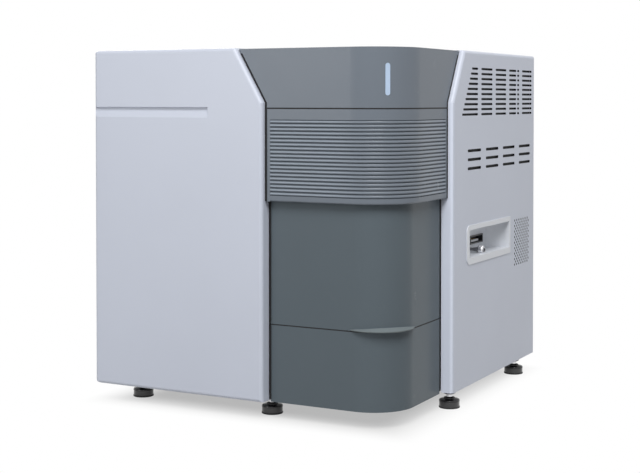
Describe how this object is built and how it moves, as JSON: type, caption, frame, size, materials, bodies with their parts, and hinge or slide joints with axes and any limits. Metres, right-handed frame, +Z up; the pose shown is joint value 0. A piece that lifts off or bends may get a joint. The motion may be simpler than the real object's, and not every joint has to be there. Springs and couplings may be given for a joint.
{
  "type": "flow cytometer",
  "caption": "Bench-top flow cytometer: white three-sided housing round a grey rounded corner column with a lifting sample door, a ribbed band and a status light.",
  "frame": {"origin": "centre of the footprint, on the bench", "axes": "+X towards the right-hand side with the vents, -Y towards the front cover, +Z up"},
  "size_m": [0.54, 0.575, 0.56],
  "materials": {
    "white_shell": "satin",
    "white_moulding": "satin",
    "grey_moulding": "satin",
    "light_lens": "gloss",
    "plated_sheet": "satin",
    "frame_paint": "satin",
    "liner_paint": "matte",
    "bay_paint": "matte",
    "black_anodised": "matte",
    "bare_aluminium": "satin",
    "bright_steel": "polished",
    "chrome_plate": "polished",
    "black_moulding": "satin",
    "black_rubber": "matte",
    "pale_moulding": "satin",
    "quartz": "gloss",
    "fibre_jacket": "satin",
    "clear_tube": "gloss",
    "board": "satin"
  },
  "bodies": {
    "housing": {"base_tray": "plated_sheet", "frame_posts": "frame_paint", "frame_rails": "frame_paint", "mid_bulkhead": "plated_sheet", "left_panel": "white_shell", "right_panel": "white_shell", "top_cover": "white_shell", "rear_panel": "white_shell", "fascia": "grey_moulding", "status_light": "light_lens", "ribbed_panel": "grey_moulding", "column_liner": "liner_paint", "lower_panel": "grey_moulding", "door_rails": "bare_aluminium", "bay_liner": "bay_paint", "optics_deck": "black_anodised", "deck_isolators": "black_rubber", "laser_violet": "black_anodised", "laser_blue": "black_anodised", "laser_red": "black_anodised", "beam_mirrors": "bare_aluminium", "flow_cell_block": "bare_aluminium", "flow_cell": "quartz", "objective": "black_anodised", "fibre_bundle": "fibre_jacket", "detector_module_1": "black_moulding", "detector_module_2": "black_moulding", "pump_body": "pale_moulding", "sheath_filter": "pale_moulding", "valve_manifold": "pale_moulding", "fluid_tubing": "clear_tube", "power_supply": "plated_sheet", "main_board": "board", "power_inlet": "black_moulding", "fan_frame": "black_moulding", "fan_guard": "chrome_plate", "rear_ports": "chrome_plate", "service_tub": "white_moulding", "data_receptacle": "black_moulding", "coupling_body": "chrome_plate", "cover_hinges": "bright_steel", "stage_base": "black_anodised", "probe_column": "bare_aluminium"},
    "front_cover": {"front_cover": "white_moulding"},
    "sample_door": {"door_panel": "grey_moulding", "door_shoes": "pale_moulding"},
    "stage_carriage": {"stage_carriage": "bare_aluminium"},
    "plate_tray": {"plate_tray": "black_anodised"},
    "probe_carriage": {"probe_carriage": "black_anodised", "sample_probe": "bright_steel"},
    "probe_screw": {"probe_screw": "bright_steel"},
    "pump_rotor": {"pump_rotor": "black_moulding"},
    "fan_rotor": {"fan_rotor": "black_moulding"},
    "power_rocker": {"power_rocker": "black_moulding"},
    "coupling_sleeve": {"coupling_sleeve": "chrome_plate"},
    "foot_front_left": {"foot_front_left": "bright_steel"},
    "foot_front_middle": {"foot_front_middle": "bright_steel"},
    "foot_side_front": {"foot_side_front": "bright_steel"},
    "foot_side_rear": {"foot_side_rear": "bright_steel"},
    "foot_rear_left": {"foot_rear_left": "bright_steel"}
  },
  "joints": [
    {"name": "cover_hinge", "type": "hinge", "parent": "housing", "child": "front_cover", "pos_m": [-0.261, -0.27, 0.28], "axis": [0, 0, -1], "range_deg": [0, 95]},
    {"name": "door_lift", "type": "slide", "parent": "housing", "child": "sample_door", "axis": [0, 0, 1], "range_m": [0, 0.175]},
    {"name": "stage_y", "type": "slide", "parent": "housing", "child": "stage_carriage", "axis": [0, 1, 0], "range_m": [-0.0495, 0.0495]},
    {"name": "stage_x", "type": "slide", "parent": "stage_carriage", "child": "plate_tray", "axis": [1, 0, 0], "range_m": [-0.0315, 0.0315]},
    {"name": "probe_lift", "type": "slide", "parent": "housing", "child": "probe_carriage", "axis": [0, 0, -1], "range_m": [0, 0.034]},
    {"name": "probe_screw_turn", "type": "hinge", "parent": "housing", "child": "probe_screw", "pos_m": [0.068, -0.09, 0.27], "axis": [0, 0, 1], "range_deg": [0, 770]},
    {"name": "pump_spin", "type": "hinge", "parent": "housing", "child": "pump_rotor", "pos_m": [-0.095, -0.22, 0.096], "axis": [0, 1, 0], "continuous": true},
    {"name": "fan_spin", "type": "hinge", "parent": "housing", "child": "fan_rotor", "pos_m": [0.15, 0.2595, 0.4], "axis": [0, 1, 0], "continuous": true},
    {"name": "power_rock", "type": "hinge", "parent": "housing", "child": "power_rocker", "pos_m": [0.127, 0.2715, 0.074], "axis": [1, 0, 0], "range_deg": [0, 14]},
    {"name": "coupling_release", "type": "slide", "parent": "housing", "child": "coupling_sleeve", "axis": [-1, 0, 0], "range_m": [0, 0.003], "stiffness_N_per_m": 800, "springref_m": -0.002},
    {"name": "foot_front_left_level", "type": "slide", "parent": "housing", "child": "foot_front_left", "axis": [0, 0, -1], "range_m": [0, 0.01]},
    {"name": "foot_front_middle_level", "type": "slide", "parent": "housing", "child": "foot_front_middle", "axis": [0, 0, -1], "range_m": [0, 0.01]},
    {"name": "foot_side_front_level", "type": "slide", "parent": "housing", "child": "foot_side_front", "axis": [0, 0, -1], "range_m": [0, 0.01]},
    {"name": "foot_side_rear_level", "type": "slide", "parent": "housing", "child": "foot_side_rear", "axis": [0, 0, -1], "range_m": [0, 0.01]},
    {"name": "foot_rear_left_level", "type": "slide", "parent": "housing", "child": "foot_rear_left", "axis": [0, 0, -1], "range_m": [0, 0.01]}
  ],
  "couplings": [
    {"joint": "probe_screw_turn", "follows": "probe_lift", "rad_per_m": 392.7}
  ]
}
